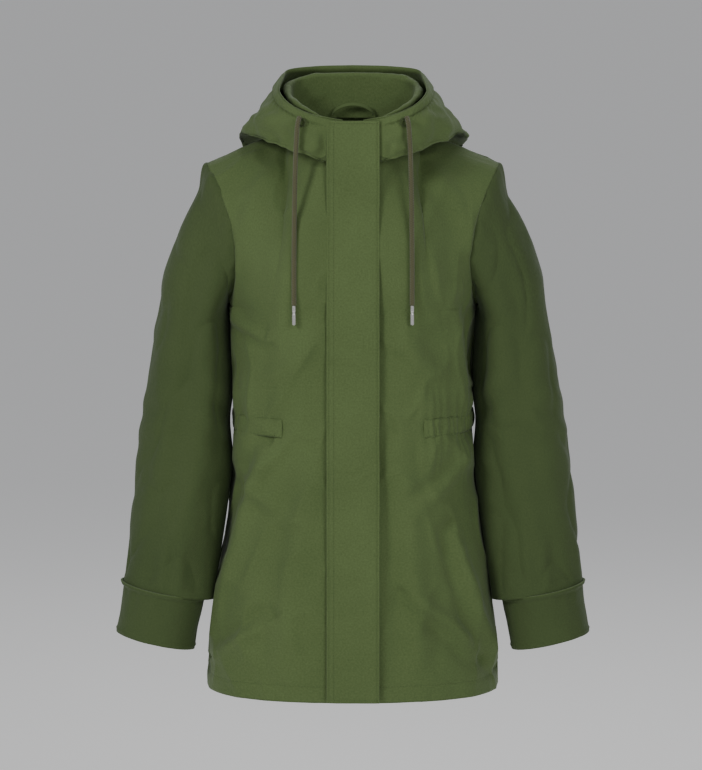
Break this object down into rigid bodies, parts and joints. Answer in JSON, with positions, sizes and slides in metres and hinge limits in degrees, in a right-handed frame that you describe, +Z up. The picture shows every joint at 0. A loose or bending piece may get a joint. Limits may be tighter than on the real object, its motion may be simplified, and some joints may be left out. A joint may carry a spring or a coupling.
{
  "type": "hooded jacket",
  "caption": "Mid-length hooded jacket with a covered front zip, storm flap, waist casing, hood drawcords and long sleeves, hood down.",
  "frame": {"origin": "on the centre plane, at the height of the front neck seam and midway between front and back of the neck, where a body form or hanger holds the jacket", "axes": "+Z up, the front faces -Y, +X is the wearer's left"},
  "size_m": [0.616, 0.3273, 0.8031],
  "materials": {
    "cloth": "matte",
    "trim_cloth": "matte",
    "tape": "matte",
    "cord": "matte",
    "bright_metal": "satin"
  },
  "bodies": {
    "torso": {"back_panel": "cloth", "front_panel_left": "cloth", "front_panel_right": "cloth", "hem_back": "trim_cloth", "hem_left": "trim_cloth", "hem_right": "trim_cloth", "waist_casing_back": "cloth", "waist_casing_left": "cloth", "waist_casing_right": "cloth", "hood_front_left": "cloth", "hood_front_right": "cloth", "hood_tunnel_left": "cloth", "hood_tunnel_right": "cloth", "neck_rise": "cloth", "hanger_loop": "trim_cloth", "eyelet_left": "cloth", "eyelet_right": "cloth", "drawcord_left": "cord", "drawcord_right": "cord", "aglet_left": "bright_metal", "aglet_right": "bright_metal", "zip_teeth_left": "bright_metal", "zip_teeth_right": "bright_metal", "zip_tape_left": "tape", "zip_tape_right": "tape", "zip_top_stop_left": "bright_metal", "zip_top_stop_right": "bright_metal", "zip_bottom_box": "bright_metal", "snap_stud_1": "bright_metal", "snap_stud_2": "bright_metal", "snap_stud_3": "bright_metal", "snap_stud_4": "bright_metal", "snap_stud_5": "bright_metal"},
    "flap": {"storm_flap": "cloth", "snap_socket_1": "bright_metal", "snap_socket_2": "bright_metal", "snap_socket_3": "bright_metal", "snap_socket_4": "bright_metal", "snap_socket_5": "bright_metal"},
    "slider": {"zip_slider": "bright_metal", "zip_pull": "bright_metal"},
    "arm_left": {"sleeve_left": "cloth", "cuff_left": "trim_cloth"},
    "arm_right": {"sleeve_right": "cloth", "cuff_right": "trim_cloth"},
    "hood": {"hood_side_left": "cloth", "hood_side_right": "cloth", "hood_gusset": "cloth", "hood_tunnel_back": "cloth"}
  },
  "joints": [
    {"name": "flap_swing", "type": "hinge", "parent": "torso", "child": "flap", "pos_m": [-0.034, -0.13802, -0.3281], "axis": [0, -0.0542, -0.9985], "range_deg": [0, 140]},
    {"name": "zip_slide", "type": "slide", "parent": "torso", "child": "slider", "axis": [0, -0.0542, -0.9985], "range_m": [0, 0.64]},
    {"name": "sleeve_left_lift", "type": "hinge", "parent": "torso", "child": "arm_left", "pos_m": [0.1915, 0, -0.017], "axis": [0, -1, 0], "range_deg": [0, 60]},
    {"name": "sleeve_right_lift", "type": "hinge", "parent": "torso", "child": "arm_right", "pos_m": [-0.1915, 0, -0.017], "axis": [0, 1, 0], "range_deg": [0, 60]},
    {"name": "hood_lift", "type": "hinge", "parent": "torso", "child": "hood", "pos_m": [0, -0.034, 0.088], "axis": [1, 0, 0], "range_deg": [0, 40]}
  ]
}
